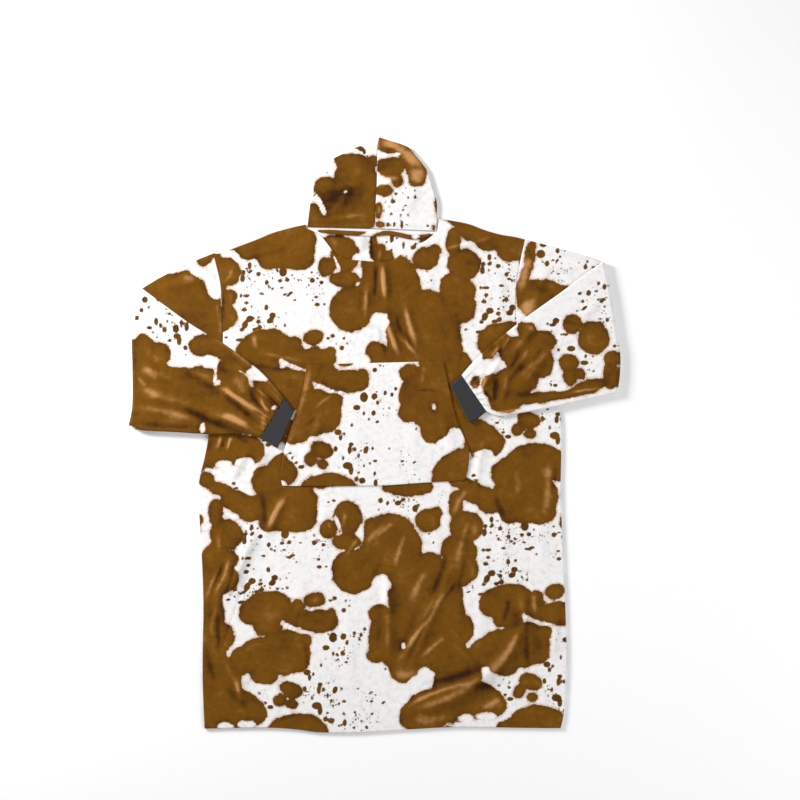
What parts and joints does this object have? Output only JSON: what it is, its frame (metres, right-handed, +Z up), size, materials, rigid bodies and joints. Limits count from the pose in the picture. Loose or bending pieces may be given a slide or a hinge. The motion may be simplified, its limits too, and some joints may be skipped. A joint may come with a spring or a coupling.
{
  "type": "oversized pullover hoodie, laid flat",
  "caption": "Oversized pullover hoodie in cowhide-print plush fleece, laid flat with its forearms folded in over the chest, with a kangaroo pocket and rib cuffs.",
  "frame": {"origin": "on the surface that the garment lies on, below the middle of its box", "axes": "+X to the right of the garment seen from above, +Y from hem to hood, +Z up from the surface"},
  "size_m": [1.1784, 1.4282, 0.0216],
  "materials": {
    "printed_plush": "short plush pile printed with brown cowhide patches on off-white",
    "rib_knit": "dark grey rib knit"
  },
  "bodies": {
    "root": {"back_panel": "printed_plush", "front_panel": "printed_plush", "pocket": "printed_plush", "sleeve_left": "printed_plush", "sleeve_right": "printed_plush", "hood_left": "printed_plush", "hood_right": "printed_plush", "neck_band": "printed_plush", "cuff_left": "rib_knit", "cuff_right": "rib_knit"}
  },
  "joints": []
}
